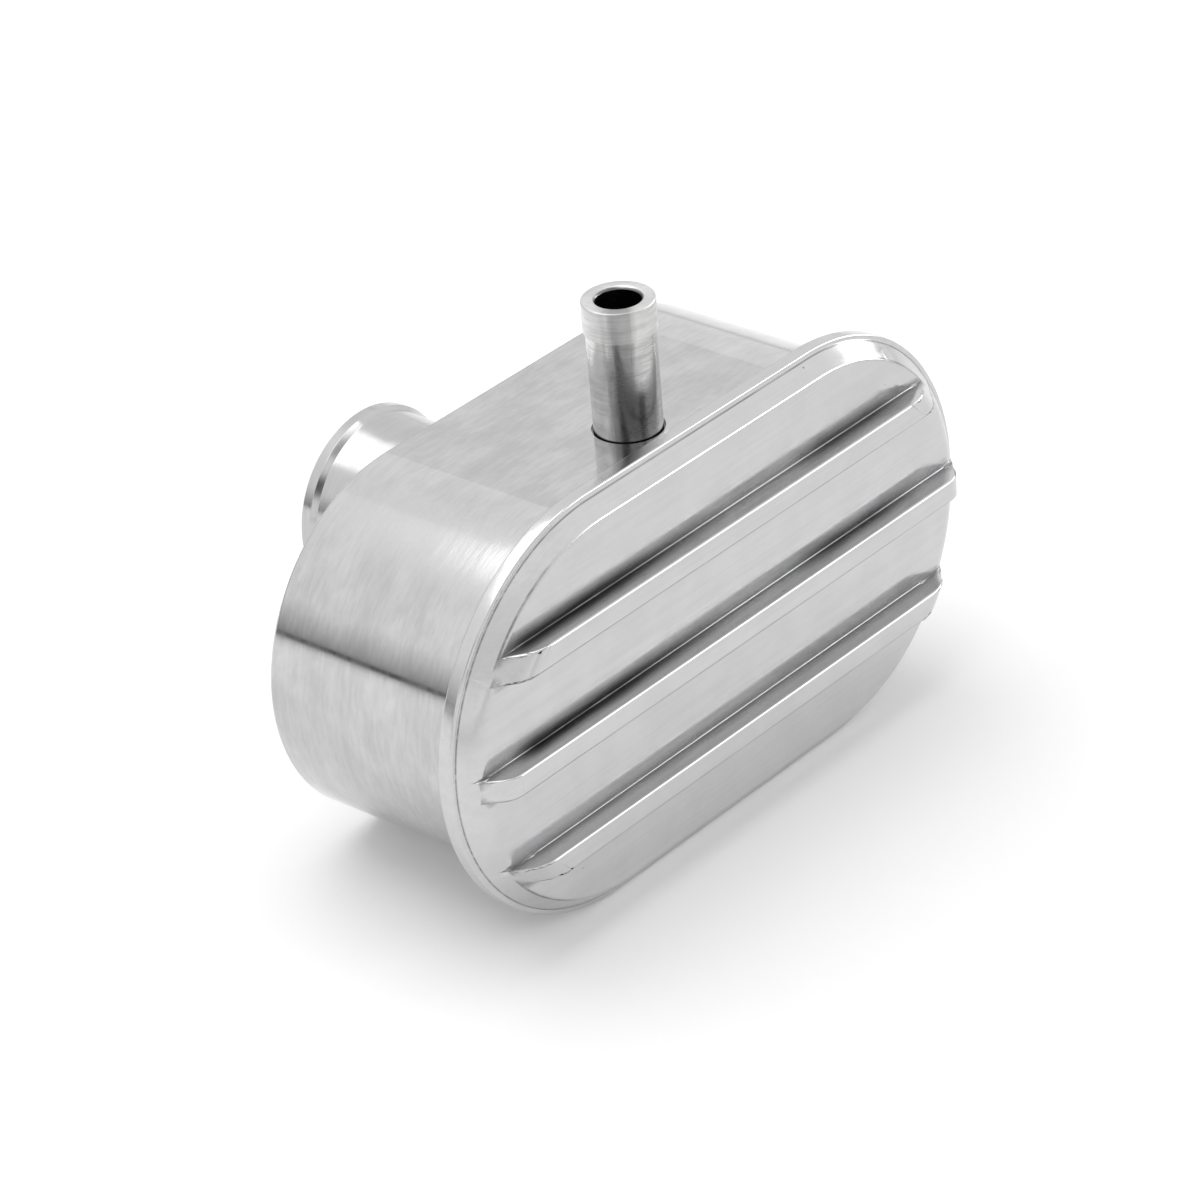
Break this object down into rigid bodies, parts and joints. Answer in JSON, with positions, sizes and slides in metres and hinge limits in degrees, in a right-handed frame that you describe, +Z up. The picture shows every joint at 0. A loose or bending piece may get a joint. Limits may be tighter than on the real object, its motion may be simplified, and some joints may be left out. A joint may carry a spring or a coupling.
{
  "type": "valve cover breather",
  "caption": "Push-in oval valve cover breather with a polished finned cover, a grommet neck at the back and a hose tube on top.",
  "frame": {"origin": "on the neck's axis, in the plane of the canister's back face", "axes": "+Y out along the neck, +Z up along the hose tube, +X along the oval's long axis"},
  "size_m": [0.107, 0.0695, 0.076],
  "materials": {
    "cover": "polished",
    "canister": "polished, lightly brushed",
    "neck": "turned",
    "tube": "turned",
    "gasket": "matt",
    "screw": "zinc plated",
    "inner_sheet": "mill finish",
    "filter": "knitted wire and fibre pad"
  },
  "bodies": {
    "root": {"finned_cover": "cover", "canister_body": "canister", "cover_gasket": "gasket", "cover_screw_left": "screw", "cover_screw_right": "screw", "neck_tube": "neck", "neck_gasket": "gasket", "baffle_plate": "inner_sheet", "baffle_spacer_1": "inner_sheet", "baffle_spacer_2": "inner_sheet", "baffle_spacer_3": "inner_sheet", "neck_screw_1": "screw", "neck_screw_2": "screw", "neck_screw_3": "screw", "rear_screen": "inner_sheet", "filter_pad": "filter", "front_screen": "inner_sheet", "hose_tube": "tube"}
  },
  "joints": []
}
